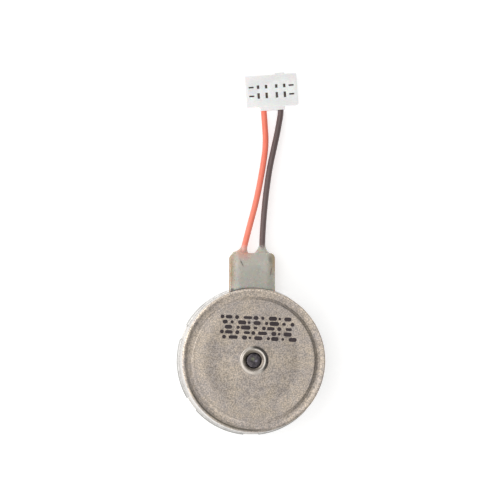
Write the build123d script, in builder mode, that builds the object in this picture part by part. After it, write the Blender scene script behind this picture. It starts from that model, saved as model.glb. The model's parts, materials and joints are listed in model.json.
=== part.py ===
from build123d import *
import os
from math import pi, radians, tan

# Vibration coin motor with two short leads and a two-way plug. Millimetres.
# The origin is the centre of the adhesive face that the motor is mounted by. +Z runs
# along the motor's axis and out of the closed end of the case, and +Y towards the leads.

# ---- driving dimensions -------------------------------------------------------------
can_diameter = 10.0
flange_diameter = 10.4
wall = 0.2
pad_thickness = 0.10
pad_diameter = 9.6
plate_thickness = 0.25
fit_gap = 0.02  # running clearance of the rotor, and of pieces dropped into pockets

# ---- case, from its foot on the plate to the hub at its middle ---------------------
flare = 0.08  # the wall widens by this much from here down to its foot
flare_top = 1.25
rim_height = 2.87  # crest of the rim
rim_crest_radius = 4.88
rim_rounding = 0.10
rim_foot_radius = 4.80
ring_height = 2.84  # the flat ring inside the rim
ring_inner_radius = 4.43
shoulder_height = 2.97  # outer edge of the raised middle
shoulder_radius = 4.10
plateau_height = 3.00  # the middle itself
dome_radius = 2.70
hub_height = 3.09
hub_foot_radius = 0.97
hub_radius = 0.82
funnel_radius = 0.77
funnel_foot_radius = 0.60
funnel_foot_height = 3.01
tab_notch_width = 3.3
tab_notch_height = 1.12

# ---- staking of the case to the plate ----------------------------------------------
stake_angles = (23, 157, 216, 270, 324)
stake_width = 1.05
stake_radius = 5.14  # outer face of the tongues, which are bent outwards
stake_foot_height = 0.12

# ---- shaft, bearing and washers -----------------------------------------------------
shaft_radius = 0.55
shaft_top = 2.98
shaft_dome = 0.18
collar_radius = 0.95
collar_top = 0.85
washer_thickness = 0.10

# ---- terminal tab at the edge of the motor -----------------------------------------
tab_x = 0.08  # the tab and its leads lie this far to the +X side of the motor's axis
plate_tab_width = 3.0
plate_tab_end = 7.40
flex_tab_width = 3.2
flex_tab_end = 7.50
tab_corner_radius = 0.35
glue_width = 3.14
glue_end = 7.56
glue_top = 1.10
glue_edge_radius = 0.10
glue_cone_start = 7.40
glue_cone_length = 0.60
glue_cone_radius = 0.40
glue_cone_skin = 0.025  # thickness that the cone thins out to

# ---- flexible circuit and its copper ------------------------------------------------
flex_thickness = 0.08
flex_radius = 4.6
flex_hole_radius = 1.05
copper_thickness = 0.03
copper_width = 0.34
brush_pad = 0.70
solder_pad_width = 0.86
solder_pad_length = 1.10
solder_pad_y = 6.20
solder_pad_x = 0.78
solder_top = 0.86
solder_width = 0.76
solder_length = 0.90
solder_corner = 0.20
solder_slope = 25  # degrees in from upright
track_bend_x = 2.2  # the black track passes outside its brush
track_bend_start = -0.2
track_bend_end = 3.2
track_straight_end = 3.4
track_neck_y = 4.8

# ---- magnet and brushes -------------------------------------------------------------
magnet_outer_radius = 4.45
magnet_inner_radius = 2.50
magnet_thickness = 0.80
magnet_chamfer = 0.13
brush_x = 1.40
brush_width = 0.60
brush_slot = 0.12
brush_slot_end = -0.05
brush_thickness = 0.05
brush_foot_start = -1.65
brush_foot_end = -0.95
brush_tip_start = 0.60
brush_tip_end = 0.95

# ---- rotor ---------------------------------------------------------------------------
commutator_bottom = 1.50
commutator_thickness = 0.03
commutator_inner_radius = 1.00
commutator_outer_radius = 1.75
segment_count = 6
segment_gap = 0.12
gap_overrun = 0.20
board_thickness = 0.15
board_radius = 4.40
board_edge = 1.20  # the straight edge of the half-moon, ahead of the axis
board_hub_radius = 1.90
resin_top = 2.45
resin_radius = 4.60
resin_edge = 1.35
resin_hub_radius = 1.95
coil_centre_radius = 2.75
coil_angles = (-30, -150)
coil_outer_radius = 1.60
coil_core_radius = 0.60
coil_height = 0.72
weight_outer_radius = 4.46
weight_inner_radius = 2.40
weight_wall = 0.15
weight_half_angle = 38
bearing_radius = 0.95

# ---- plug -----------------------------------------------------------------------------
plug_centre = (1.40, 18.97)
plug_turn = 4.2  # degrees, counter-clockwise seen from above
plug_width = 3.66
plug_length = 2.25
plug_height = 1.00
plug_edge_radius = 0.07
pitch = 1.20
sleeve_width = 1.76
sleeve_length = 0.25
sleeve_height = 0.84
nib_width = 0.70
nib_length = 0.12
nib_x = 0.65
cavity_width = 0.80
cavity_height = 0.62
cavity_start = -0.95
cavity_end = 0.85
mating_slot_width = 0.50
mating_slot_length = 0.90
window_width = 0.17
window_places = (-0.925, -0.36, 0.36, 0.925)  # over the contacts' side walls
window_rows = ((0.29, 0.25), (-0.33, 0.39))  # place along the plug, length
end_window_x = 1.41
end_window_length = 0.35
end_window_width = 0.11
end_window_depth = 0.25
contact_wall = 0.10
contact_width = 0.72
contact_height = 0.54
contact_front = 0.78
crimp_radius = 0.20
crimp_length = 0.50

# ---- leads ----------------------------------------------------------------------------
lead_diameter = 0.42
core_radius = 0.10
core_length = 0.95
bend_share = 0.45  # of the shorter run beside a bend, which its arc may take up
lead_height = 0.68  # of the leads' axes where they lie in the glue
lead_end_y = -1.00  # where a lead's insulation ends inside the plug

# ---- levels worked out from the above -------------------------------------------------
plate_top = pad_thickness + plate_thickness
flex_top = plate_top + flex_thickness
copper_top = flex_top + copper_thickness
magnet_top = copper_top + magnet_thickness
lower_washer_top = collar_top + washer_thickness
board_bottom = commutator_bottom + commutator_thickness
board_top = board_bottom + board_thickness
upper_washer_top = plateau_height - wall
upper_washer_bottom = upper_washer_top - washer_thickness
bearing_bottom = lower_washer_top + fit_gap
bearing_top = upper_washer_bottom - fit_gap
brush_top = commutator_bottom - fit_gap
can_radius = can_diameter / 2
foot_radius = can_radius + flare
lead_radius = lead_diameter / 2
plug_plane = Plane(
    origin=(*plug_centre, 0),
    x_dir=Vector(1, 0, 0).rotate(Axis.Z, plug_turn),
    z_dir=(0, 0, 1),
)

os.makedirs("parts", exist_ok=True)


def save(part, name):
    """Label a finished piece and write it as its own file."""
    part.label = name
    export_step(part, f"parts/{name}.step")


def on_plug(x, y, z):
    """A place given across, along and above the plug, in the motor's frame."""
    return tuple(plug_plane.from_local_coords(Vector(x, y, z)))


def bend_radii(route):
    """The largest arc that fits at each inner point of a route of straight runs."""
    points = [Vector(*point) for point in route]
    radii = []
    for before, here, after in zip(points, points[1:], points[2:]):
        turn = (here - before).get_angle(after - here)
        shorter = min((here - before).length, (after - here).length)
        radii.append(bend_share * shorter / tan(radians(turn) / 2))
    return radii


# ---- mounting face and base plate -----------------------------------------------------
with BuildPart() as adhesive_pad:
    with BuildSketch():
        Circle(pad_diameter / 2)
    extrude(amount=pad_thickness)
save(adhesive_pad.part, "adhesive_pad")

with BuildPart() as base_plate:
    with BuildSketch(Plane.XY.offset(pad_thickness)) as plate_outline:
        Circle(flange_diameter / 2)
        with Locations((tab_x, plate_tab_end / 2)):
            Rectangle(plate_tab_width, plate_tab_end)
        tab_corners = plate_outline.vertices().group_by(Axis.Y)[-1]
        fillet(tab_corners, tab_corner_radius)
        # Open notches in the flange, which the tongues of the case are staked into.
        for angle in stake_angles:
            with Locations(Location((0, 0, 0), (0, 0, angle))):
                with Locations((stake_radius - wall, 0)):
                    Rectangle(
                        flange_diameter / 2,
                        stake_width + fit_gap,
                        align=(Align.MIN, Align.CENTER),
                        mode=Mode.SUBTRACT,
                    )
    extrude(amount=plate_thickness)
    # Collar drawn up round the shaft.
    with BuildSketch(Plane.XY.offset(plate_top)):
        Circle(collar_radius)
    extrude(amount=collar_top - plate_top)
    with BuildSketch(Plane.XY.offset(pad_thickness)):
        Circle(shaft_radius)
    extrude(amount=collar_top - pad_thickness, mode=Mode.SUBTRACT)
save(base_plate.part, "base_plate")

# ---- shaft, fixed in the plate, and the washers on it ----------------------------------
with BuildPart() as shaft:
    with BuildSketch(Plane.XY.offset(pad_thickness)):
        Circle(shaft_radius)
    extrude(amount=shaft_top - pad_thickness)
    fillet(shaft.edges().sort_by(Axis.Z)[-1], shaft_dome)
save(shaft.part, "shaft")

washer_bottoms = {
    "lower_thrust_washer": collar_top,
    "upper_thrust_washer": upper_washer_bottom,
}
for washer_name, washer_bottom in washer_bottoms.items():
    with BuildPart() as thrust_washer:
        with BuildSketch(Plane.XY.offset(washer_bottom)):
            Circle(collar_radius)
            Circle(shaft_radius + fit_gap / 2, mode=Mode.SUBTRACT)
        extrude(amount=washer_thickness)
    save(thrust_washer.part, washer_name)

# ---- drawn case: wall, rim, raised middle and hub --------------------------------------
with BuildPart() as top_case:
    with BuildSketch(Plane.XZ):
        with BuildLine() as case_outline:
            Polyline(
                (foot_radius - wall, plate_top),
                (foot_radius, plate_top),
                (can_radius, flare_top),
                (can_radius, rim_height),
                (rim_crest_radius, rim_height),
                (rim_foot_radius, ring_height),
                (ring_inner_radius, ring_height),
                (shoulder_radius, shoulder_height),
                (dome_radius, plateau_height),
                (hub_foot_radius, plateau_height),
                (hub_radius, hub_height),
                (funnel_radius, hub_height),
                (funnel_foot_radius, funnel_foot_height),
                (shaft_radius + fit_gap / 2, funnel_foot_height),
                (shaft_radius + fit_gap / 2, upper_washer_top),
                (shoulder_radius - wall, upper_washer_top),
                (ring_inner_radius - wall, ring_height - wall),
                (can_radius - wall, ring_height - wall),
                (can_radius - wall, flare_top),
                close=True,
            )
        make_face()
    revolve(axis=Axis.Z)
    rim_edge = (
        top_case.edges()
        .filter_by(GeomType.CIRCLE)
        .filter_by_position(Axis.Z, rim_height, rim_height)
        .sort_by(SortBy.RADIUS)[-1]
    )
    fillet(rim_edge, rim_rounding)
    # Opening in the wall for the terminal tab.
    with BuildSketch(Plane.XY.offset(plate_top)):
        with Locations((tab_x, can_radius)):
            Rectangle(tab_notch_width, can_radius)
    extrude(amount=tab_notch_height - plate_top, mode=Mode.SUBTRACT)
    # Tongues that pass down through the plate's notches.
    with BuildSketch(Plane.XY.offset(stake_foot_height)):
        for angle in stake_angles:
            with Locations(Location((0, 0, 0), (0, 0, angle))):
                with Locations((stake_radius - wall / 2, 0)):
                    Rectangle(wall, stake_width)
    extrude(amount=plate_top - stake_foot_height)
save(top_case.part, "top_case")

# ---- flexible circuit and its two copper tracks -----------------------------------------
with BuildPart() as flex_circuit:
    with BuildSketch(Plane.XY.offset(plate_top)) as flex_outline:
        Circle(flex_radius)
        with Locations((tab_x, flex_tab_end / 2)):
            Rectangle(flex_tab_width, flex_tab_end)
        fillet(flex_outline.vertices().group_by(Axis.Y)[-1], tab_corner_radius)
        Circle(flex_hole_radius, mode=Mode.SUBTRACT)
    extrude(amount=flex_thickness)
save(flex_circuit.part, "flex_circuit")

brush_foot_y = (brush_foot_start + brush_foot_end) / 2
track_routes = {
    "copper_track_red": [
        (-brush_x, -brush_foot_y),
        (-brush_x, track_straight_end),
        (-solder_pad_x, track_neck_y),
        (-solder_pad_x, solder_pad_y),
    ],
    "copper_track_black": [
        (brush_x, brush_foot_y),
        (track_bend_x, track_bend_start),
        (track_bend_x, track_bend_end),
        (solder_pad_x, track_neck_y),
        (solder_pad_x, solder_pad_y),
    ],
}
tracks = {}
for track_name, track_route in track_routes.items():
    with BuildPart() as copper_track:
        with BuildSketch(Plane.XY.offset(flex_top)):
            with BuildLine():
                Polyline(*track_route)
            trace(line_width=copper_width)
            with Locations(track_route[0]):
                Rectangle(brush_pad, brush_pad)
            with Locations(track_route[-1]):
                Rectangle(solder_pad_width, solder_pad_length)
        extrude(amount=copper_thickness)
    tracks[track_name] = copper_track.part
    save(copper_track.part, track_name)

# ---- ring magnet, and the two spring brushes inside it ----------------------------------
with BuildPart() as ring_magnet:
    with BuildSketch(Plane.XY.offset(copper_top)):
        Circle(magnet_outer_radius)
        Circle(magnet_inner_radius, mode=Mode.SUBTRACT)
    extrude(amount=magnet_thickness)
    chamfer(ring_magnet.edges().group_by(Axis.Z)[-1], magnet_chamfer)
save(ring_magnet.part, "ring_magnet")

brush_turns = {"brush_black": 0, "brush_red": 180}
for brush_name, brush_turn in brush_turns.items():
    with BuildPart() as brush:
        with BuildSketch(Plane.YZ.offset(brush_x - brush_width / 2)):
            with BuildLine():
                Polyline(
                    (brush_foot_start, copper_top),
                    (brush_foot_end, copper_top),
                    (brush_tip_start, brush_top - brush_thickness),
                    (brush_tip_end, brush_top - 2 * brush_thickness),
                    (brush_tip_end, brush_top - brush_thickness),
                    (brush_tip_start, brush_top),
                    (brush_foot_end, copper_top + brush_thickness),
                    (brush_foot_start, copper_top + brush_thickness),
                    close=True,
                )
            make_face()
        extrude(amount=brush_width)
        # The slot that splits the spring into two fingers.
        with BuildSketch(Plane.XY.offset(copper_top)):
            with Locations((brush_x, brush_tip_end)):
                Rectangle(brush_slot, 2 * (brush_tip_end - brush_slot_end))
        extrude(amount=brush_top, mode=Mode.SUBTRACT)
    save(brush.part.rotate(Axis.Z, brush_turn), brush_name)

# ---- rotor: bearing, board, commutator, coils, weight and moulding ------------------------
with BuildPart() as bearing:
    with BuildSketch(Plane.XY.offset(bearing_bottom)):
        Circle(bearing_radius)
        Circle(shaft_radius + fit_gap, mode=Mode.SUBTRACT)
    extrude(amount=bearing_top - bearing_bottom)
save(bearing.part, "bearing")

with BuildPart() as rotor_board:
    with BuildSketch(Plane.XY.offset(board_bottom)):
        Circle(board_radius)
        with Locations((0, board_edge)):
            Rectangle(
                2 * board_radius,
                board_radius,
                align=(Align.CENTER, Align.MIN),
                mode=Mode.SUBTRACT,
            )
        Circle(board_hub_radius)
        Circle(bearing_radius, mode=Mode.SUBTRACT)
    extrude(amount=board_thickness)
save(rotor_board.part, "rotor_board")

with BuildPart() as commutator:
    with BuildSketch(Plane.XY.offset(commutator_bottom)):
        Circle(commutator_outer_radius)
        Circle(commutator_inner_radius, mode=Mode.SUBTRACT)
        for segment in range(segment_count):
            turn = 360 / segment_count * segment
            with Locations(Location((0, 0, 0), (0, 0, turn))):
                with Locations((commutator_outer_radius / 2, 0)):
                    Rectangle(commutator_outer_radius + gap_overrun, segment_gap, mode=Mode.SUBTRACT)
    extrude(amount=commutator_thickness)
save(commutator.part, "commutator")

coil_names = ("coil_right", "coil_left")
coil_places = [Vector(coil_centre_radius, 0).rotate(Axis.Z, angle) for angle in coil_angles]
moulded_pieces = []
for coil_name, coil_place in zip(coil_names, coil_places):
    with BuildPart() as coil:
        with BuildSketch(Plane.XY.offset(board_top)):
            with Locations(coil_place):
                Circle(coil_outer_radius)
                Circle(coil_core_radius, mode=Mode.SUBTRACT)
        extrude(amount=coil_height)
    moulded_pieces.append(coil.part)
    save(coil.part, coil_name)

with BuildPart() as counterweight:
    with BuildSketch(Plane.XY.offset(board_top)):
        Circle(weight_outer_radius)
        Circle(weight_inner_radius, mode=Mode.SUBTRACT)
        with BuildLine():
            wedge_side = Vector(0, -2 * weight_outer_radius)
            Polyline(
                (0, 0),
                wedge_side.rotate(Axis.Z, -weight_half_angle),
                wedge_side.rotate(Axis.Z, weight_half_angle),
                close=True,
            )
        make_face(mode=Mode.INTERSECT)
        with Locations(*coil_places):
            Circle(coil_outer_radius + weight_wall, mode=Mode.SUBTRACT)
    extrude(amount=coil_height)
moulded_pieces.append(counterweight.part)
save(counterweight.part, "counterweight")

with BuildPart() as rotor_moulding:
    with BuildSketch(Plane.XY.offset(board_top)):
        Circle(resin_radius)
        with Locations((0, resin_edge)):
            Rectangle(
                2 * resin_radius,
                resin_radius,
                align=(Align.CENTER, Align.MIN),
                mode=Mode.SUBTRACT,
            )
        Circle(resin_hub_radius)
        Circle(bearing_radius, mode=Mode.SUBTRACT)
    extrude(amount=resin_top - board_top)
    for piece in moulded_pieces:
        add(piece, mode=Mode.SUBTRACT)
save(rotor_moulding.part, "rotor_moulding")

# ---- leads, their stripped ends, and the solder that holds them ---------------------------
# Each route is chosen by hand: out of the glue, along the bench and into the plug.
lead_routes = {
    "lead_red": [
        (-0.80, 6.70, lead_height),
        (-0.60, 7.55, lead_height),
        (-0.20, 9.15, 0.76),
        (0.38, 11.30, 0.80),
        (0.84, 13.70, 0.74),
        (1.05, 15.30, 0.62),
        on_plug(-pitch / 2, lead_end_y - 1.30, plug_height / 2),
        on_plug(-pitch / 2, lead_end_y, plug_height / 2),
    ],
    "lead_black": [
        (0.76, 6.70, lead_height),
        (0.755, 7.55, lead_height),
        (0.80, 9.15, 0.75),
        (0.98, 11.35, 0.80),
        (1.28, 13.50, 0.76),
        (1.62, 15.00, 0.66),
        (1.86, 16.05, 0.55),
        (2.00, 16.85, 0.51),
        on_plug(pitch / 2, lead_end_y - 0.56, plug_height / 2),
        on_plug(pitch / 2, lead_end_y, plug_height / 2),
    ],
}
glued_pieces = [flex_circuit.part, *tracks.values()]
for lead_name, route in lead_routes.items():
    radii = bend_radii(route)
    with BuildPart() as lead:
        with BuildLine() as lead_path:
            FilletPolyline(*route, radius=radii)
        with BuildSketch(Plane(origin=lead_path.line @ 0, z_dir=lead_path.line % 0)):
            Circle(lead_radius)
        sweep()
    save(lead.part, lead_name)
    lead_length = lead_path.wire().length
    rod_volume = pi * lead_radius**2 * lead_length
    print(lead_name, "length", round(lead_length, 3))
    print(lead_name, "volume over section times length", round(lead.part.volume / rod_volume, 4))
    print(lead_name, "bend radii", [round(radius, 2) for radius in radii])

    # The stripped end lies in line with the lead, in a bead of solder on its pad.
    core_plane = Plane(origin=route[0], z_dir=-(lead_path.line % 0))
    with BuildPart() as lead_core:
        with BuildSketch(core_plane):
            Circle(core_radius)
        extrude(amount=core_length)
    save(lead_core.part, lead_name.replace("lead", "lead_core"))

    pad_x = route[0][0]
    with BuildPart() as solder_bead:
        with BuildSketch(Plane.XY.offset(copper_top)):
            with Locations((pad_x, solder_pad_y)):
                RectangleRounded(solder_width, solder_length, solder_corner)
        extrude(amount=solder_top - copper_top, taper=solder_slope)
        fillet(solder_bead.faces().sort_by(Axis.Z)[-1].edges(), core_radius)
        add(lead_core.part, mode=Mode.SUBTRACT)
    save(solder_bead.part, lead_name.replace("lead", "solder"))
    glued_pieces += [lead.part, lead_core.part, solder_bead.part]

# ---- glue over the tab, drawn up round the leads -------------------------------------------
with BuildPart() as glue_cap:
    with BuildSketch(Plane.XY.offset(flex_top)) as glue_outline:
        with Locations((tab_x, glue_end)):
            Rectangle(glue_width, glue_end, align=(Align.CENTER, Align.MAX))
        fillet(glue_outline.vertices().group_by(Axis.Y)[-1], tab_corner_radius)
        Circle(can_radius - wall / 2, mode=Mode.SUBTRACT)
    extrude(amount=glue_top - flex_top)
    outer_edges = glue_cap.faces().sort_by(Axis.Z)[-1].edges().filter_by_position(
        Axis.Y, can_radius, glue_end + 1)
    fillet(outer_edges, glue_edge_radius)
    for route in lead_routes.values():
        exit_direction = Vector(*route[2]) - Vector(*route[1])
        cone_place = Vector(*route[1]) + exit_direction.normalized() * (glue_cone_start - route[1][1])
        with BuildSketch(Plane(origin=cone_place, z_dir=exit_direction)):
            Circle(glue_cone_radius)
        with BuildSketch(Plane(origin=cone_place, z_dir=exit_direction).offset(glue_cone_length)):
            Circle(lead_radius + glue_cone_skin)
        loft()
    for piece in glued_pieces:
        add(piece, mode=Mode.SUBTRACT)
save(glue_cap.part, "glue_cap")

# ---- plug housing --------------------------------------------------------------------------
with BuildPart() as plug_housing:
    with BuildSketch(plug_plane):
        Rectangle(plug_width, plug_length)
    extrude(amount=plug_height)
    fillet(plug_housing.edges().filter_by(Axis.Z), plug_edge_radius)
    # Sleeve round the leads.
    with BuildSketch(plug_plane.offset((plug_height - sleeve_height) / 2)):
        with Locations((0, -plug_length / 2 - sleeve_length / 2)):
            Rectangle(sleeve_width, sleeve_length)
    extrude(amount=sleeve_height)
    # Nib on the far edge.
    with BuildSketch(plug_plane.offset(plug_height / 2)):
        with Locations((nib_x, plug_length / 2 + nib_length / 2)):
            Rectangle(nib_width, nib_length)
    extrude(amount=plug_height / 2 - plug_edge_radius)
    for contact_x in (-pitch / 2, pitch / 2):
        # Cavity for the contact, and the slot under it that the header enters by.
        cavity_middle = (contact_x, (cavity_start + cavity_end) / 2)
        with BuildSketch(plug_plane.offset((plug_height - cavity_height) / 2)):
            with Locations(cavity_middle):
                Rectangle(cavity_width, cavity_end - cavity_start)
        extrude(amount=cavity_height, mode=Mode.SUBTRACT)
        with BuildSketch(plug_plane):
            with Locations((contact_x, mating_slot_length / 4)):
                Rectangle(mating_slot_width, mating_slot_length)
        extrude(amount=plug_height / 2, mode=Mode.SUBTRACT)
        # Round way in for the lead.
        lead_way = Plane(
            origin=on_plug(contact_x, cavity_start, plug_height / 2),
            z_dir=-plug_plane.y_dir,
        )
        with BuildSketch(lead_way):
            Circle(lead_radius + fit_gap)
        extrude(amount=plug_length, mode=Mode.SUBTRACT)
    # Windows through the top, over the contacts' sides.
    with BuildSketch(plug_plane.offset(plug_height / 2)):
        for row_y, window_length in window_rows:
            with Locations(*[(window_x, row_y) for window_x in window_places]):
                Rectangle(window_width, window_length)
    extrude(amount=plug_height / 2, mode=Mode.SUBTRACT)
    # Blind slots near the two ends.
    with BuildSketch(plug_plane.offset(plug_height - end_window_depth)):
        for row_y, _ in window_rows:
            with Locations((-end_window_x, row_y), (end_window_x, row_y)):
                Rectangle(end_window_length, end_window_width)
    extrude(amount=end_window_depth, mode=Mode.SUBTRACT)
save(plug_housing.part, "plug_housing")

# ---- crimped contacts -----------------------------------------------------------------------
for contact_name, contact_x in {"contact_red": -pitch / 2, "contact_black": pitch / 2}.items():
    crimp_plane = Plane(
        origin=on_plug(contact_x, lead_end_y, plug_height / 2),
        z_dir=plug_plane.y_dir,
    )
    box_start = lead_end_y + crimp_length
    with BuildPart() as contact:
        with BuildSketch(crimp_plane):
            Circle(crimp_radius)
        extrude(amount=crimp_length)
        with BuildSketch(plug_plane.offset((plug_height - contact_height) / 2)):
            with Locations((contact_x, (box_start + contact_front) / 2)):
                Rectangle(contact_width, contact_front - box_start)
        extrude(amount=contact_height)
        with BuildSketch(plug_plane.offset((plug_height - contact_height) / 2)):
            with Locations((contact_x, (box_start + contact_front) / 2 + contact_wall)):
                Rectangle(contact_width - 2 * contact_wall, contact_front - box_start)
        extrude(amount=contact_height, mode=Mode.SUBTRACT)
    save(contact.part, contact_name)
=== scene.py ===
"""Looks of a vibration coin motor: drawn metal case, glued terminal tab, two leads and a plug.

Every piece is built in millimetres, in the CAD model's own frame, and scaled to metres last.
"""

import json
import math

import bmesh
import bpy
from mathutils import Matrix, Vector


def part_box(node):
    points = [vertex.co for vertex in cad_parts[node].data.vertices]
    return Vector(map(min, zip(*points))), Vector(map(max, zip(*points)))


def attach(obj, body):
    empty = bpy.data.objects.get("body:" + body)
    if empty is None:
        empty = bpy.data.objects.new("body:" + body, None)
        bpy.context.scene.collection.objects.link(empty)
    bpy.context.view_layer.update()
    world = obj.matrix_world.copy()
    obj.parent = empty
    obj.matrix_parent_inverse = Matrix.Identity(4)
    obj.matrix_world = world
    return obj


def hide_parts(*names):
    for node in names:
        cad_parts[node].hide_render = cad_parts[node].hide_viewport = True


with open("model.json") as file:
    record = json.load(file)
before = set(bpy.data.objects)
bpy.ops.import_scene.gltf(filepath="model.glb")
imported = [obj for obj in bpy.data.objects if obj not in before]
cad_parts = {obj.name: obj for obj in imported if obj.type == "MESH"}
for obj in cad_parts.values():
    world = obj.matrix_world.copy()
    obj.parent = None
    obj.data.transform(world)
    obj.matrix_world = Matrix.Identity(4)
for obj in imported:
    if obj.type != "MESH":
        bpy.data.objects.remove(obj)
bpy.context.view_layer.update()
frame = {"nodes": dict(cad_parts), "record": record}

MM = 0.001


# ---- places read from the frame, in millimetres ---------------------------------------------
def box_mm(node):
    """Lowest and highest corner of a CAD node."""
    low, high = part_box(node)
    return low / MM, high / MM


MOUNTS = {mount["name"]: mount for mount in frame["record"]["mounts"]}

CASE_LOW, CASE_HIGH = box_mm("top_case")
PLATE_LOW, PLATE_HIGH = box_mm("base_plate")
PAD_LOW, PAD_HIGH = box_mm("adhesive_pad")
FLEX_LOW, FLEX_HIGH = box_mm("flex_circuit")
SHAFT_LOW, SHAFT_HIGH = box_mm("shaft")
WASHER_TOP = box_mm("upper_thrust_washer")[1].z
GLUE_LOW, GLUE_HIGH = box_mm("glue_cap")
PLUG_PLACE = Vector(MOUNTS["plug_mating_side"]["pos_m"]) / MM

# Case and plate.
CASE_RADIUS = MOUNTS["case_wall"]["dims"]["r_mm"]
FOOT_RADIUS = CASE_HIGH.x  # the wall flares out to this at its foot
FLARE_TOP = 1.25
FLANGE_RADIUS = PLATE_HIGH.x
SHAFT_RADIUS = SHAFT_HIGH.x
WALL = 0.2
PLATE_TOP = FLEX_LOW.z
HUB_TOP = CASE_HIGH.z
FACE = WASHER_TOP + WALL  # height of the raised middle
SHOULDER = FACE - 0.03  # height of the edge of the raised middle
RIM = FACE - 0.13  # crest of the rim
RING = RIM - 0.04  # the flat ring between the rim and the raised middle
RIM_ROUND = 0.09  # radius of the rim's outer corner
RIM_CREST_RADIUS = 4.875
RIM_FOOT_RADIUS = 4.58
RING_INNER_RADIUS = 4.43
SHOULDER_RADIUS = 4.20
DOME_RADIUS = 2.70
HUB_FOOT_RADIUS = 0.975
HUB_RADIUS = 0.80
FUNNEL_RADIUS = 0.77
FUNNEL_FOOT_RADIUS = 0.63
BORE_GAP = 0.01  # between the case and the shaft
STAKE_ANGLES = (157, 216, 270, 324, 383)  # from the tab round to the tab again
STAKE_RADIUS = 5.14
STAKE_WIDTH = 1.05
STAKE_GAP = 0.02
TAB_NOTCH_WIDTH = 3.3
TAB_NOTCH_TOP = 1.12
COLLAR_RADIUS = 0.95  # of the plate, round the shaft's foot
INK_THICKNESS = 0.006
INK_ROOT = -0.01  # how far the ink reaches into the face

# Terminal tab and glue.
TAB_X = (GLUE_LOW.x + GLUE_HIGH.x) / 2  # centreline of the tab
PLATE_TAB_WIDTH = 3.0
TAB_CORNER = 0.35
GLUE_WIDTH = GLUE_HIGH.x - GLUE_LOW.x
GLUE_START = 4.3  # inside the case's wall
GLUE_END = FLEX_HIGH.y + 0.05
GLUE_TOP = 1.09
GLUE_REACH = {"lead_red": 0.58, "lead_black": 0.80}  # how far the glue climbs along each lead
RED_EXIT = (-0.50, 7.75)  # where the red lead goes into the glue

# Leads and plug. The leads' points are those of the CAD routes.
LEAD_RADIUS = 0.21
LEAD_HEIGHT = 0.68  # of the leads' axes in the glue
PLUG_TURN = math.radians(4.2)
PLUG_WIDTH = 3.66
PLUG_LENGTH = 2.25
PLUG_HEIGHT = 1.00
SLEEVE_WIDTH = 1.76
SLEEVE_LENGTH = 0.25
SLEEVE_INSET = 0.08  # below the plug's top, and above its underside
NIB = ((0.30, 1.00), 0.12, (0.50, 0.93))  # across the plug, length, heights
LEAD_WAY_RADIUS = 0.23
LEAD_WAY_LENGTH = 0.80
LEAD_WAY_PLACE = -1.20
CAVITY = ((-0.40, -0.95, 0.19), (0.40, 0.85, 0.81))  # corners, from a contact's middle
MATING_SLOT = ((-0.25, -0.225, -0.20), (0.25, 0.675, 0.50))
PITCH = 1.20
LEAD_END = -1.00  # place along the plug where the insulation ends
WINDOW_ROWS = ((0.29, 0.25), (-0.33, 0.39))  # place along the plug, length
WINDOW_PLACES = (-0.925, -0.36, 0.36, 0.925)
WINDOW_WIDTH = 0.17
WINDOW_FLOOR = 0.50
END_WINDOW_X = 1.41
END_WINDOW_LENGTH = 0.35
END_WINDOW_WIDTH = 0.11
END_WINDOW_FLOOR = 0.75


def on_plug(x, y, z):
    """A place given across, along and above the plug, in the motor's frame."""
    return PLUG_PLACE + Matrix.Rotation(PLUG_TURN, 3, "Z") @ Vector((x, y, z))


LEAD_ROUTES = {
    "lead_red": [
        (-0.80, 6.70, LEAD_HEIGHT),
        (-0.60, 7.55, LEAD_HEIGHT),
        (-0.20, 9.15, 0.76),
        (0.38, 11.30, 0.80),
        (0.84, 13.70, 0.74),
        (1.05, 15.30, 0.62),
        on_plug(-PITCH / 2, LEAD_END - 1.30, PLUG_HEIGHT / 2),
        on_plug(-PITCH / 2, LEAD_END, PLUG_HEIGHT / 2),
    ],
    "lead_black": [
        (0.76, 6.70, LEAD_HEIGHT),
        (0.755, 7.55, LEAD_HEIGHT),
        (0.80, 9.15, 0.75),
        (0.98, 11.35, 0.80),
        (1.28, 13.50, 0.76),
        (1.62, 15.00, 0.66),
        (1.86, 16.05, 0.55),
        (2.00, 16.85, 0.51),
        on_plug(PITCH / 2, LEAD_END - 0.56, PLUG_HEIGHT / 2),
        on_plug(PITCH / 2, LEAD_END, PLUG_HEIGHT / 2),
    ],
}


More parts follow.
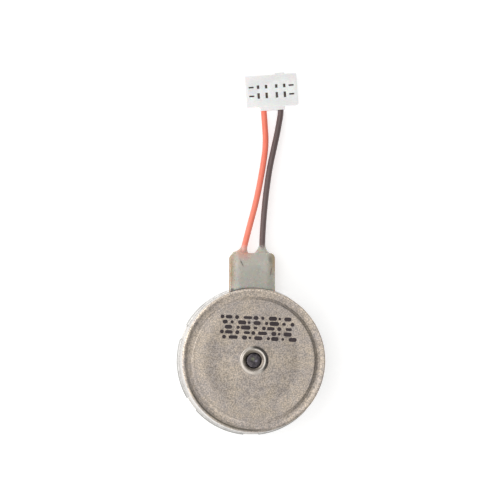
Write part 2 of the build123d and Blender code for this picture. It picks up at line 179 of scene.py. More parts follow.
# ---- materials ------------------------------------------------------------------------------
class Finish:
    """A procedural material with its textures laid out in millimetres of the object."""

    def __init__(self, name, **sockets):
        self.material = bpy.data.materials.new(name)
        self.material.use_nodes = True
        self.tree = self.material.node_tree
        self.shader = self.tree.nodes["Principled BSDF"]
        for socket, value in sockets.items():
            self.shader.inputs[socket.replace("_", " ")].default_value = value
        self.place = self.stretched((1, 1, 1))

    def node(self, kind, **settings):
        made = self.tree.nodes.new(kind)
        for key, value in settings.items():
            setattr(made, key, value)
        return made

    def feed(self, socket, value):
        """Put a number, a colour or another node's output into a socket."""
        if isinstance(value, bpy.types.NodeSocket):
            self.tree.links.new(value, socket)
        elif isinstance(value, (tuple, list)) and len(value) == 3 and socket.type == "RGBA":
            socket.default_value = (*value, 1)
        else:
            socket.default_value = value

    def stretched(self, scale):
        """Object coordinates in millimetres, scaled along each axis."""
        coordinates = self.node("ShaderNodeTexCoord")
        mapping = self.node("ShaderNodeMapping")
        mapping.inputs["Scale"].default_value = [part / MM for part in scale]
        self.tree.links.new(coordinates.outputs["Object"], mapping.inputs["Vector"])
        return mapping.outputs["Vector"]

    def noise(self, size, detail=3.0, place=None, distortion=0.0):
        """Soft noise whose spots are about `size` millimetres across."""
        texture = self.node("ShaderNodeTexNoise")
        self.feed(texture.inputs["Vector"], place or self.place)
        self.feed(texture.inputs["Scale"], 1 / size)
        self.feed(texture.inputs["Detail"], detail)
        self.feed(texture.inputs["Roughness"], 0.55)
        self.feed(texture.inputs["Distortion"], distortion)
        return texture.outputs["Fac"]

    def math(self, operation, a, b=0.0):
        """Combine two numbers, or change one."""
        made = self.node("ShaderNodeMath", operation=operation)
        self.feed(made.inputs[0], a)
        self.feed(made.inputs[1], b)
        return made.outputs[0]

    def axis(self, name):
        """One coordinate of the surface point, in millimetres."""
        split = self.node("ShaderNodeSeparateXYZ")
        self.feed(split.inputs[0], self.place)
        return split.outputs[name]

    def radius(self, centre=(0, 0)):
        """Distance from an upright axis, in millimetres."""
        across = self.math("SUBTRACT", self.axis("X"), centre[0])
        along = self.math("SUBTRACT", self.axis("Y"), centre[1])
        squares = self.math("ADD", self.math("POWER", across, 2), self.math("POWER", along, 2))
        return self.math("SQRT", squares)

    def oval(self, centre, half_size, lean):
        """0 at the middle of an upright oval column and 1 at its edge."""
        mapping = self.node("ShaderNodeMapping", vector_type="TEXTURE")
        mapping.inputs["Location"].default_value = (*centre, 0)
        mapping.inputs["Rotation"].default_value = (0, 0, math.radians(lean))
        mapping.inputs["Scale"].default_value = (*half_size, 1)
        self.feed(mapping.inputs["Vector"], self.place)
        flat = self.node("ShaderNodeVectorMath", operation="MULTIPLY")
        self.feed(flat.inputs[0], mapping.outputs["Vector"])
        flat.inputs[1].default_value = (1, 1, 0)
        length = self.node("ShaderNodeVectorMath", operation="LENGTH")
        self.feed(length.inputs[0], flat.outputs["Vector"])
        return length.outputs["Value"]

    def remap(self, value, low, high, to_low=0.0, to_high=1.0):
        """Carry a value from one range softly to another, and hold it at the ends."""
        made = self.node("ShaderNodeMapRange", interpolation_type="SMOOTHSTEP")
        sockets = ("Value", "From Min", "From Max", "To Min", "To Max")
        for socket, number in zip(sockets, (value, low, high, to_low, to_high)):
            self.feed(made.inputs[socket], number)
        return made.outputs["Result"]

    def ramp(self, value, stops, span):
        """Grey tones at stops along a value that runs from 0 to span."""
        made = self.node("ShaderNodeValToRGB")
        made.color_ramp.interpolation = "B_SPLINE"
        elements = made.color_ramp.elements
        while len(elements) < len(stops):
            elements.new(0.5)
        for element, (at, tone) in zip(elements, stops):
            element.position = at / span
            element.color = (tone, tone, tone, 1)
        self.feed(made.inputs["Fac"], self.math("DIVIDE", value, span))
        return made.outputs["Color"]

    def mix(self, amount, a, b, blend="MIX"):
        """Blend colour b over colour a."""
        made = self.node("ShaderNodeMix", data_type="RGBA", blend_type=blend)
        self.feed(made.inputs["Factor"], amount)
        self.feed(made.inputs[6], a)
        self.feed(made.inputs[7], b)
        return made.outputs[2]

    def bump(self, height, depth):
        """Raise the surface by `depth` millimetres where height is 1."""
        made = self.node("ShaderNodeBump")
        self.feed(made.inputs["Height"], height)
        self.feed(made.inputs["Distance"], depth * MM)
        self.feed(made.inputs["Strength"], 1.0)
        normal = self.shader.inputs["Normal"]
        if normal.is_linked:
            self.feed(made.inputs["Normal"], normal.links[0].from_socket)
        self.feed(normal, made.outputs["Normal"])

    def toned(self, colour, tone):
        """A colour multiplied by a number."""
        return self.mix(1.0, colour, tone_colour(self, tone), "MULTIPLY")

    def colour(self, value):
        self.feed(self.shader.inputs["Base Color"], value)

    def rough(self, value):
        self.feed(self.shader.inputs["Roughness"], value)


def speckled(finish, base, light, dark, sizes=(0.9, 0.22, 0.07)):
    """A base colour with soft patches, smaller mottling and a fine grain."""
    patches, mottle, grain = sizes
    colour = finish.mix(finish.remap(finish.noise(patches), 0.35, 0.65), dark, light)
    colour = finish.mix(0.55, colour, base)
    mottled = finish.remap(finish.noise(mottle), 0.30, 0.70, 0.90, 1.08)
    grained = finish.remap(finish.noise(grain, detail=2), 0.25, 0.75, 0.88, 1.12)
    tone = finish.math("MULTIPLY", mottled, grained)
    return finish.toned(colour, tone)


def tone_colour(finish, value):
    """A grey colour made from a number."""
    made = finish.node("ShaderNodeCombineColor")
    for socket in made.inputs:
        finish.feed(socket, value)
    return made.outputs["Color"]


def case_face_finish():
    """Satin plated face: sandy grain, painted rings of shade and highlight, burnished edges with
    painted light and shade.
    """
    finish = Finish("plated_face", Metallic=0.92)
    patches = finish.remap(finish.noise(1.1), 0.35, 0.65)
    colour = finish.mix(patches, (0.51, 0.455, 0.425), (0.63, 0.54, 0.445))
    sand = finish.remap(finish.noise(0.17, detail=2), 0.36, 0.64)
    colour = finish.mix(0.4, colour, finish.mix(sand, (0.48, 0.44, 0.41), (0.66, 0.56, 0.46)))
    mottle = finish.remap(finish.noise(0.42), 0.32, 0.68, 0.92, 1.07)
    grain = finish.remap(finish.noise(0.085, detail=1), 0.30, 0.70, 0.70, 1.26)
    tone = finish.math("MULTIPLY", mottle, grain)
    colour = finish.toned(colour, tone)

    # Painted rings of shade and highlight, clearest at the left and at the right, stand in for the
    # light that the face's shallow slopes reflect.
    radius = finish.radius()
    left = finish.ramp(radius, [
        (0.0, 0.94), (1.3, 0.94), (2.2, 0.90), (2.95, 0.72), (3.35, 0.76), (3.85, 1.12),
        (4.12, 0.98), (4.22, 0.74), (4.34, 0.74), (4.41, 0.56), (4.5, 0.76), (4.8, 0.82),
        (5.0, 1.0),
    ], CASE_RADIUS)
    right = finish.ramp(radius, [
        (0.0, 0.86), (1.2, 0.84), (2.0, 0.86), (2.75, 0.72), (3.1, 0.80), (3.5, 1.20),
        (3.9, 1.0), (4.16, 1.02), (4.36, 0.44), (4.44, 0.90), (4.8, 0.86), (5.0, 1.0),
    ], CASE_RADIUS)
    plain = finish.ramp(radius, [
        (0.0, 0.88), (2.5, 0.86), (3.4, 0.88), (4.3, 0.86), (5.0, 0.95),
    ], CASE_RADIUS)
    side = finish.math("DIVIDE", finish.axis("X"), radius)
    rings = finish.mix(finish.remap(side, -0.35, -0.85), plain, left)
    rings = finish.mix(finish.remap(side, 0.25, 0.75), rings, right)
    # Multiply in the painted rings of shade and highlight.
    colour = finish.mix(1.0, colour, rings, "MULTIPLY")

    # The rim and the hub are burnished. The rim is painted darker towards the bottom and lighter
    # elsewhere, and the hub lighter towards the right and top: painted shade and highlight.
    rim = finish.remap(radius, 4.82, 4.88)
    hub = finish.remap(radius, 1.02, 0.96)
    along = finish.math("DIVIDE", finish.axis("Y"), radius)
    rim_light_and_shade_tone = finish.remap(along, -0.85, -0.2, 0.78, 1.3)
    rim_painted_light = finish.toned(colour, rim_light_and_shade_tone)
    colour = finish.mix(rim, colour, rim_painted_light)
    aside = finish.math("ADD", side, finish.math("MULTIPLY", along, 0.45))
    # Painted highlight on the hub, lighter towards the right and top.
    bright = finish.mix(finish.remap(aside, -0.3, 0.5), (0.56, 0.51, 0.46), (0.74, 0.69, 0.63))
    colour = finish.mix(hub, colour, bright)

    # Painted shade darkens the way into the hub, and more so its upper left slope; a painted shadow
    # lies in a crescent at the hub's foot.
    throat_painted_shade = finish.remap(radius, 0.76, 0.68, 0.0, 0.92)
    colour = finish.mix(throat_painted_shade, colour, (0.19, 0.16, 0.135))
    away = finish.math("SUBTRACT", finish.math("MULTIPLY", along, 0.8), side)
    shade = finish.remap(away, 0.45, 1.30, 0.0, 0.65)
    funnel_painted_shade = finish.math("MULTIPLY", finish.remap(radius, 0.84, 0.77), shade)
    colour = finish.mix(funnel_painted_shade, colour, (0.20, 0.175, 0.13))
    # Painted shadow in a crescent at the hub's foot, towards the upper right.
    crescent = finish.math(
        "MULTIPLY", finish.remap(radius, 0.80, 0.87), finish.remap(radius, 1.06, 0.98))
    hub_foot_painted_shadow = finish.math("MULTIPLY", crescent, finish.remap(aside, 0.0, 0.6, 0.0, 0.88))
    colour = finish.mix(hub_foot_painted_shadow, colour, (0.045, 0.038, 0.034))

    # A painted dark line of shade and reflection lies along the rim, on the lower left side away
    # from the tab.
    across = finish.math("MULTIPLY", side, 0.6)
    facing = finish.math("MULTIPLY", finish.math("ADD", across, along), -0.86)
    line = finish.math(
        "MULTIPLY", finish.remap(radius, 4.74, 4.81), finish.remap(radius, 4.91, 4.86))
    rim_painted_shade = finish.math("MULTIPLY", line, finish.remap(facing, 0.62, 0.92, 0.0, 0.85))
    finish.colour(finish.mix(rim_painted_shade, colour, (0.11, 0.10, 0.08)))

    satin = finish.remap(finish.noise(0.5), 0.3, 0.7, 0.30, 0.40)
    burnished = finish.math("MAXIMUM", rim, hub)
    gloss = (0.13, 0.13, 0.13)
    finish.rough(finish.mix(burnished, tone_colour(finish, satin), gloss))
    finish.bump(finish.noise(0.10, detail=2), 0.0045)
    finish.bump(finish.noise(0.5, detail=2), 0.006)
    return finish


def case_wall_finish():
    """Drawn wall: faint upright draw lines and a few scuffs."""
    finish = Finish("plated_wall", Metallic=0.92)
    lines = finish.noise(0.09, detail=4, place=finish.stretched((1, 1, 0.15)))
    scuffs = finish.remap(finish.noise(0.35, distortion=0.6), 0.56, 0.70)
    colour = finish.mix(finish.remap(lines, 0.25, 0.75), (0.66, 0.635, 0.61), (0.75, 0.73, 0.705))
    scuffed = finish.math("MULTIPLY", scuffs, 0.3)
    finish.colour(finish.mix(scuffed, colour, (0.42, 0.38, 0.35)))
    finish.rough(finish.remap(lines, 0.3, 0.7, 0.26, 0.38))
    finish.bump(lines, 0.004)
    finish.bump(finish.noise(0.06, detail=2), 0.002)
    return finish


def plate_finish():
    """Blanked plate: lighter than the case, with rolling lines along X."""
    finish = Finish("plated_plate", Metallic=0.9)
    rolled = finish.noise(0.08, detail=4, place=finish.stretched((0.08, 1, 1)))
    colour = speckled(finish, (0.76, 0.75, 0.74), (0.84, 0.83, 0.82), (0.66, 0.65, 0.64))
    shaded = finish.remap(rolled, 0.3, 0.7, 0.88, 1.06)
    colour = finish.toned(colour, shaded)
    # Darker towards the flange's outer edge, except along the tab.
    flange_edge_darkening = finish.math(
        "MULTIPLY",
        finish.remap(finish.radius(), FLANGE_RADIUS - 0.10, FLANGE_RADIUS - 0.04, 0.0, 0.7),
        finish.remap(finish.axis("Y"), 4.4, 3.8),
    )
    finish.colour(finish.mix(flange_edge_darkening, colour, (0.30, 0.295, 0.28)))
    finish.rough(finish.remap(rolled, 0.3, 0.7, 0.30, 0.42))
    finish.bump(rolled, 0.003)
    return finish


def shaft_finish():
    """Ground steel, its dark tone partly oily steel and partly painted shade, with two painted
    highlights and turning rings on its end.
    """
    finish = Finish("oiled_steel", Metallic=0.85, Coat_Weight=0.6, Coat_Roughness=0.12)
    smear = finish.remap(finish.noise(0.22, distortion=0.5), 0.35, 0.65)
    colour = finish.mix(smear, (0.030, 0.024, 0.032), (0.105, 0.090, 0.098))
    # Two painted highlights: greenish near the middle and violet to the right.
    for centre, reach, tint in (
        ((-0.08, 0.10), 0.20, (0.25, 0.27, 0.17)),
        ((0.17, -0.03), 0.13, (0.24, 0.22, 0.27)),
    ):
        painted_highlight = finish.remap(finish.radius(centre), reach, 0.0, 0.0, 0.75)
        colour = finish.mix(painted_highlight, colour, tint)
    finish.colour(colour)
    finish.rough(finish.remap(finish.noise(0.2), 0.3, 0.7, 0.16, 0.30))
    ring_step = 0.07
    rings = finish.math("SINE", finish.math("MULTIPLY", finish.radius(), 2 * math.pi / ring_step))
    finish.bump(rings, 0.0012)
    return finish


def glue_finish():
    """Milky cured glue: amber where the flexible circuit's edge shows through."""
    finish = Finish(
        "cloudy_glue", Transmission_Weight=0.18, IOR=1.48, Subsurface_Weight=0.45,
        Subsurface_Scale=0.5 * MM, Coat_Weight=0.35, Coat_Roughness=0.12,
    )
    cloud = finish.remap(finish.noise(0.8, detail=4, distortion=0.4), 0.30, 0.70)
    colour = finish.mix(cloud, (0.60, 0.59, 0.52), (0.70, 0.68, 0.61))
    tint = finish.remap(finish.noise(0.55, detail=2), 0.35, 0.65)
    colour = finish.mix(0.15, colour, finish.mix(tint, (0.60, 0.62, 0.55), (0.70, 0.64, 0.58)))
    left_edge = finish.remap(finish.axis("X"), TAB_X - 1.05, TAB_X - 1.62)
    right_edge = finish.math(
        "MULTIPLY",
        finish.remap(finish.axis("X"), TAB_X + 0.95, TAB_X + 1.62),
        finish.remap(finish.axis("Y"), 5.6, 6.8),
    )
    amber = finish.math("MAXIMUM", left_edge, finish.math("MULTIPLY", right_edge, 0.9))
    fading = finish.math("MULTIPLY", amber, finish.remap(finish.axis("Y"), 4.9, 6.1, 0.30, 1.0))
    broken = finish.math("MULTIPLY", fading, finish.remap(finish.noise(0.5), 0.25, 0.6, 0.60, 0.95))
    colour = finish.mix(broken, colour, (0.46, 0.34, 0.17))
    near_red = finish.remap(finish.radius(RED_EXIT), 0.95, 0.15, 0.0, 0.80)
    colour = finish.mix(near_red, colour, (0.86, 0.46, 0.36))
    # Painted shade in a narrow band where the glue meets the case's wall.
    wall_painted_shade = finish.remap(finish.radius(), CASE_RADIUS + 0.20, CASE_RADIUS + 0.04, 0.0, 0.85)
    colour = finish.mix(wall_painted_shade, colour, (0.09, 0.075, 0.065))

    # Two dark fibres and a smear lie in the glue; the last oval is a painted shadow in the gap
    # beside the notch in the case's wall.
    for centre, half_size, lean, strength in (
        ((-0.70, 6.84), (0.07, 0.38), 26, 1.0),
        ((1.36, 6.24), (0.07, 0.44), -10, 0.95),
        ((1.33, 7.05), (0.20, 0.42), 12, 0.45),
        ((-1.40, 4.98), (0.26, 0.12), 18, 1.0),
    ):
        specks_and_shadow = finish.remap(finish.oval(centre, half_size, lean), 1.0, 0.2)
        streaky = finish.remap(finish.noise(0.12, detail=2), 0.35, 0.55, 0.5 * strength, strength)
        colour = finish.mix(finish.math("MULTIPLY", specks_and_shadow, streaky), colour, (0.16, 0.13, 0.12))
    finish.colour(colour)
    finish.rough(finish.remap(finish.noise(0.4), 0.3, 0.7, 0.18, 0.34))
    finish.bump(finish.noise(0.30, detail=3), 0.010)
    finish.bump(finish.noise(0.06, detail=2), 0.0012)
    return finish


def insulation_finish(name, base, light, dark):
    """Extruded insulation: faint lengthwise streaks and dust, a faint painted glow, and painted
    light towards the tab.
    """
    # The faint emission is a painted glow that lifts the insulation.
    finish = Finish(
        name, Specular_IOR_Level=0.45, Coat_Weight=0.1, Coat_Roughness=0.3,
        Emission_Color=(*base, 1), Emission_Strength=0.07,
    )
    streaks = finish.noise(0.09, detail=3, place=finish.stretched((1, 0.12, 1)))
    colour = finish.mix(finish.remap(streaks, 0.3, 0.7), dark, light)
    colour = finish.mix(0.5, colour, base)
    # Painted light: the insulation is lighter towards the tab.
    tab_painted_light = finish.remap(finish.axis("Y"), 17.0, 8.5, 0.0, 0.55)
    colour = finish.mix(tab_painted_light, colour, light)
    dust = finish.remap(finish.noise(0.05, detail=2), 0.62, 0.78, 0.0, 0.25)
    colour = finish.mix(dust, colour, light)
    # A ragged smear of glue where the lead comes out of the tab.
    uneven = finish.remap(finish.noise(0.18, detail=2), 0.3, 0.7, -0.12, 0.12)
    smear = finish.remap(finish.math("ADD", finish.axis("Y"), uneven), 8.20, 7.85, 0.0, 0.60)
    finish.colour(finish.mix(smear, colour, (0.66, 0.60, 0.54)))
    finish.rough(finish.remap(finish.noise(0.15), 0.3, 0.7, 0.38, 0.52))
    finish.bump(streaks, 0.004)
    finish.bump(finish.noise(0.04, detail=2), 0.0015)
    return finish


def plug_finish():
    """White moulded nylon, slightly milky, with flow marks from the gate and a faint painted glow.
    """
    # The faint white emission is a painted glow that lifts the nylon.
    finish = Finish(
        "white_nylon", Subsurface_Weight=0.2, Subsurface_Scale=0.3 * MM, Specular_IOR_Level=0.4,
        Emission_Color=(1, 1, 1, 1), Emission_Strength=0.06,
    )
    flow = finish.noise(0.7, detail=3, distortion=0.8)
    colour = finish.mix(finish.remap(flow, 0.3, 0.7), (0.88, 0.885, 0.89), (0.94, 0.94, 0.935))
    grain = finish.remap(finish.noise(0.06, detail=2), 0.3, 0.7, 0.93, 1.04)
    finish.colour(finish.toned(colour, grain))
    finish.rough(finish.remap(flow, 0.3, 0.7, 0.38, 0.52))
    finish.bump(finish.noise(0.05, detail=2), 0.002)
    finish.bump(flow, 0.004)
    return finish


def metal_finish(name, light, dark, roughness, grain=0.08, stretch=(1, 1, 1), metallic=0.95):
    """A plain metal with patches, grain and uneven gloss."""
    finish = Finish(name, Metallic=metallic)
    middle = tuple((a + b) / 2 for a, b in zip(light, dark))
    finish.colour(speckled(finish, middle, light, dark, sizes=(0.7, 0.2, grain)))
    low, high = roughness
    place = finish.stretched(stretch)
    finish.rough(finish.remap(finish.noise(0.3, place=place), 0.3, 0.7, low, high))
    finish.bump(finish.noise(grain, detail=2, place=place), 0.003)
    return finish


def plastic_finish(name, light, dark, roughness=(0.4, 0.55), grain=0.06, **sockets):
    """A plastic or resin with moulded grain."""
    finish = Finish(name, **sockets)
    middle = tuple((a + b) / 2 for a, b in zip(light, dark))
    finish.colour(speckled(finish, middle, light, dark, sizes=(0.8, 0.25, grain)))
    finish.rough(finish.remap(finish.noise(0.3), 0.3, 0.7, *roughness))
    finish.bump(finish.noise(grain, detail=2), 0.003)
    return finish


def winding_finish(name, centre):
    """Enamelled wire wound round a centre: one ridge per turn and lacquer gloss."""
    finish = Finish(name, Metallic=0.8, Coat_Weight=0.7, Coat_Roughness=0.1)
    turn = 0.06
    ridges = finish.math("SINE", finish.math("MULTIPLY", finish.radius(centre), 2 * math.pi / turn))
    layers = finish.math("SINE", finish.math("MULTIPLY", finish.axis("Z"), 2 * math.pi / turn))
    wound = finish.math("ADD", ridges, layers)
    height = finish.remap(wound, -1.2, 1.2)
    finish.colour(finish.mix(height, (0.30, 0.10, 0.04), (0.72, 0.31, 0.14)))
    finish.rough(finish.remap(finish.noise(0.3), 0.3, 0.7, 0.22, 0.35))
    finish.bump(wound, 0.006)
    return finish


# ---- mesh tools -----------------------------------------------------------------------------
def piece_from(bm, name, finish, more=()):
    """Turn a bmesh into an object with one or more finishes, still in millimetres."""
    bmesh.ops.recalc_face_normals(bm, faces=bm.faces)
    mesh = bpy.data.meshes.new(name)
    bm.to_mesh(mesh)
    bm.free()
    piece = bpy.data.objects.new(name, mesh)
    bpy.context.scene.collection.objects.link(piece)
    for one in (finish, *more):
        mesh.materials.append(one.material)
    smooth(mesh)
    return piece


def smooth(mesh, sharp=35):
    """Shade a mesh smooth, except at edges sharper than an angle in degrees."""
    mesh.polygons.foreach_set("use_smooth", [True] * len(mesh.polygons))
    mesh.set_sharp_from_angle(angle=math.radians(sharp))


def to_metres(piece):
    piece.data.transform(Matrix.Scale(MM, 4))
    return piece


def settle(piece):
    """Apply a piece's modifiers to its mesh."""
    bpy.context.view_layer.update()
    evaluated = piece.evaluated_get(bpy.context.evaluated_depsgraph_get())
    mesh = bpy.data.meshes.new_from_object(evaluated)
    piece.modifiers.clear()
    piece.data = mesh
    smooth(mesh)


def carve(piece, tool, operation="DIFFERENCE"):
    """Cut one object with another, which is then thrown away."""
    cut = piece.modifiers.new("cut", "BOOLEAN")
    cut.operation = operation
    cut.solver = "EXACT"
    cut.object = tool
    settle(piece)
    bpy.data.objects.remove(tool)


def bevelled(piece, width, segments=3, angle=35):
    """Round a piece's edges."""
    rounding = piece.modifiers.new("rounding", "BEVEL")
    rounding.width = width
    rounding.segments = segments
    rounding.limit_method = "ANGLE"
    rounding.angle_limit = math.radians(angle)
    rounding.use_clamp_overlap = True
    settle(piece)


def arc(centre, radius, start, end, steps=8):
    """Points of an arc in the plane, angles in degrees."""
    angles = [math.radians(start + (end - start) * step / steps) for step in range(steps + 1)]
    return [(centre[0] + radius * math.cos(a), centre[1] + radius * math.sin(a)) for a in angles]


def lathe(bm, outline, steps=256):
    """Turn an outline of (radius, height) points about the Z axis."""
    verts = [bm.verts.new((radius, 0, height)) for radius, height in outline]
    closed = outline[0][0] > 0
    edges = [bm.edges.new(pair) for pair in zip(verts, verts[1:])]
    if closed:
        edges.append(bm.edges.new((verts[-1], verts[0])))
    bmesh.ops.spin(
        bm, geom=[*verts, *edges], axis=(0, 0, 1), cent=(0, 0, 0),
        angle=2 * math.pi, steps=steps,
    )
    bmesh.ops.remove_doubles(bm, verts=bm.verts, dist=1e-5)


def slab(bm, outline, low, high, rounding=0.0, segments=2):
    """A plate with the given outline between two heights, its rims rounded."""
    bottom = bm.faces.new([bm.verts.new((x, y, low)) for x, y in outline])
    raised = bmesh.ops.extrude_face_region(bm, geom=[bottom])
    top_verts = [part for part in raised["geom"] if isinstance(part, bmesh.types.BMVert)]
    bmesh.ops.translate(bm, verts=top_verts, vec=(0, 0, high - low))
    if rounding:
        top = [part for part in raised["geom"] if isinstance(part, bmesh.types.BMFace)][0]
        rims = list(bottom.edges) + list(top.edges)
        bmesh.ops.bevel(
            bm, geom=rims, offset=rounding, segments=segments, profile=0.5, affect="EDGES",
        )


def block(bm, low, high):
    """A box between two corners."""
    outline = [(low[0], low[1]), (high[0], low[1]), (high[0], high[1]), (low[0], high[1])]
    slab(bm, outline, low[2], high[2])


def block_tool(boxes):
    """Several boxes as one cutting object, in millimetres."""
    bm = bmesh.new()
    for low, high in boxes:
        block(bm, low, high)
    bmesh.ops.recalc_face_normals(bm, faces=bm.faces)
    mesh = bpy.data.meshes.new("tool")
    bm.to_mesh(mesh)
    bm.free()
    tool = bpy.data.objects.new("tool", mesh)
    bpy.context.scene.collection.objects.link(tool)
    return tool


def smoothstep(value):
    """Ease from 0 to 1, and hold the value outside that range."""
    value = min(max(value, 0), 1)
    return value * value * (3 - 2 * value)


def mount(piece, body, slot, *nodes):
    """Scale a finished piece to metres, and let it stand for its CAD nodes."""
    to_metres(piece)
    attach(piece, body)
    if nodes:
        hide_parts(*nodes)


# ---- case and plate -------------------------------------------------------------------------
def face_height(radius):
    """Height of the closed end from the hub's foot out to the rim's crest."""
    rim = smoothstep((radius - RIM_FOOT_RADIUS) / (RIM_CREST_RADIUS - RIM_FOOT_RADIUS))
    along = (RING_INNER_RADIUS - radius) / (RING_INNER_RADIUS - SHOULDER_RADIUS)
    step = math.sin(min(max(along, 0), 1) * math.pi / 2)
    dome = smoothstep((SHOULDER_RADIUS - radius) / (SHOULDER_RADIUS - DOME_RADIUS))
    return RING + (RIM - RING) * rim + (SHOULDER - RING) * step + (FACE - SHOULDER) * dome


def case_outline():
    """Half section of the case, from its foot over the rim, the face and the hub."""
    inner = CASE_RADIUS - WALL
    outline = [(FOOT_RADIUS - WALL, PLATE_TOP), (FOOT_RADIUS, PLATE_TOP), (CASE_RADIUS, FLARE_TOP)]
    crest = CASE_RADIUS - RIM_ROUND
    outline += arc((crest, RIM - RIM_ROUND), RIM_ROUND, 0, 88, 12)
    face_steps = 160
    face_end = HUB_FOOT_RADIUS + 0.03
    for step in range(face_steps + 1):
        radius = crest + (face_end - crest) * step / face_steps
        outline.append((radius, face_height(radius)))
    # Hub: a soft outer flank, a narrow crest and a dished way in.
    hub_steps = 12
    for step in range(1, hub_steps + 1):
        part = step / hub_steps
        radius = HUB_FOOT_RADIUS + (HUB_RADIUS - HUB_FOOT_RADIUS) * part
        outline.append((radius, FACE + (HUB_TOP - FACE) * smoothstep(part)))
    for step in range(hub_steps + 1):
        part = step / hub_steps
        radius = FUNNEL_RADIUS + (FUNNEL_FOOT_RADIUS - FUNNEL_RADIUS) * part
        outline.append((radius, HUB_TOP - (HUB_TOP - FACE) * math.sin(part * math.pi / 2)))
    # The bore round the shaft, and the case's inside.
    bore = SHAFT_RADIUS + BORE_GAP
    inner_corner = 0.08
    outline += [(FUNNEL_FOOT_RADIUS, FACE - 0.05), (bore, FACE - 0.07), (bore, FACE - WALL)]
    outline += [(SHOULDER_RADIUS - WALL, FACE - WALL), (RING_INNER_RADIUS - WALL, RING - WALL)]
    outline += [(inner - inner_corner, RING - WALL), (inner, RING - WALL - inner_corner)]
    outline += [(inner, FLARE_TOP)]
    return outline


def stake(bm, angle):
    """A tongue of the case wall, bent down through a notch in the plate."""
    half = math.degrees(STAKE_WIDTH / 2 / STAKE_RADIUS)
    thickness = WALL - 0.01
    root = 0.08  # how far the tongue reaches up into the wall
    outer = arc((0, 0), STAKE_RADIUS, angle - half, angle + half, 6)
    inner = arc((0, 0), STAKE_RADIUS - thickness, angle + half, angle - half, 6)
    slab(bm, outer + inner, CASE_LOW.z, PLATE_TOP + root, rounding=0.02)


def build_case(face, wall):
    """Drawn case with its notch for the tab and its tongues, in two finishes."""
    bm = bmesh.new()
    lathe(bm, case_outline())
    case = piece_from(bm, "drawn_case", face, more=(wall,))
    half_notch = TAB_NOTCH_WIDTH / 2
    carve(case, block_tool([
        ((TAB_X - half_notch, 3, 0), (TAB_X + half_notch, 6, TAB_NOTCH_TOP)),
    ]))
    bm = bmesh.new()
    bm.from_mesh(case.data)
    for angle in STAKE_ANGLES:
        stake(bm, angle)
    bmesh.ops.recalc_face_normals(bm, faces=bm.faces)
    for one in bm.faces:
        one.material_index = 1 if one.calc_center_median().z < RIM - RIM_ROUND else 0
    bm.to_mesh(case.data)
    bm.free()
    smooth(case.data, 40)
    mount(case, "stator", "drawn_steel", "top_case")


def plate_outline():
    """Round flange with five open notches and the terminal tab."""
    half_tab = PLATE_TAB_WIDTH / 2
    left_turn = math.degrees(math.asin((half_tab - TAB_X) / FLANGE_RADIUS))
    right_turn = math.degrees(math.asin((half_tab + TAB_X) / FLANGE_RADIUS))
    half_notch = math.degrees((STAKE_WIDTH + STAKE_GAP) / 2 / STAKE_RADIUS)
    notch_radius = STAKE_RADIUS - WALL
    outline = []
    start = 90 + left_turn
    for stake_angle in STAKE_ANGLES:
        outline += arc((0, 0), FLANGE_RADIUS, start, stake_angle - half_notch, 40)
        outline += arc((0, 0), notch_radius, stake_angle - half_notch, stake_angle + half_notch, 12)
        start = stake_angle + half_notch
    outline += arc((0, 0), FLANGE_RADIUS, start, 450 - right_turn, 40)
    corner_y = PLATE_HIGH.y - TAB_CORNER
    outline += arc((TAB_X + half_tab - TAB_CORNER, corner_y), TAB_CORNER, 0, 90)
    outline += arc((TAB_X - half_tab + TAB_CORNER, corner_y), TAB_CORNER, 90, 180)
    return outline


def build_plate(finish):
    """Flanged plate with the collar that holds the shaft."""
    bm = bmesh.new()
    slab(bm, plate_outline(), PLATE_LOW.z, PLATE_TOP, rounding=0.025)
    collar_top = PLATE_HIGH.z
    lathe(bm, [
        (SHAFT_RADIUS, PLATE_TOP), (COLLAR_RADIUS, PLATE_TOP),
        (COLLAR_RADIUS, collar_top), (SHAFT_RADIUS, collar_top),
    ], steps=96)
    plate = piece_from(bm, "flanged_plate", finish)
    mount(plate, "stator", "drawn_steel", "base_plate")


def build_shaft(finish):
    """Fixed shaft with a domed, slightly dimpled end."""
    top = SHAFT_HIGH.z
    dome = 0.16
    dimple = ((0.30, 0.004), (0.20, 0.001), (0.12, 0.012), (0, 0.030))  # radius, depth
    outline = [(0, SHAFT_LOW.z), (SHAFT_RADIUS, SHAFT_LOW.z)]
    outline += arc((SHAFT_RADIUS - dome, top - dome), dome, 0, 78, 10)
    outline += [(radius, top - depth) for radius, depth in dimple]
    bm = bmesh.new()
    lathe(bm, outline, steps=96)
    mount(piece_from(bm, "shaft_end", finish), "stator", "shaft_steel", "shaft")


def build_mark(finish):
    """A patch of ink dots and dashes that spells nothing, where a lot mark is printed."""
    centre = Vector((0.33, 2.24))
    tilt = math.radians(-2.6)
    rows, row_step, row_shift = 5, 0.35, 0.16
    width, gap, more_gap = 5.10, 0.33, 0.11
    lengths = (0.0, 0.24, 0.0, 0.40, 0.08, 0.0, 0.30)
    dots = (0.14, 0.12, 0.145, 0.10)  # radii
    turn = Matrix.Rotation(tilt, 2)
    bm = bmesh.new()
    for row in range(rows):
        across = -width / 2 + row_shift * (row % 3)
        drop = 4 * row
        while across < width / 2:
            dot = dots[drop % len(dots)]
            length = min(lengths[drop % len(lengths)], width / 2 - across)
            spot = Vector((across, (rows // 2 - row) * row_step))
            add_dash(bm, centre + turn @ spot, length, dot, tilt)
            across += length + gap + more_gap * (drop % 3)
            drop += 1
    bmesh.ops.remove_doubles(bm, verts=bm.verts, dist=0.0005)
    mount(piece_from(bm, "ink_mark", finish), "stator", "drawn_steel")


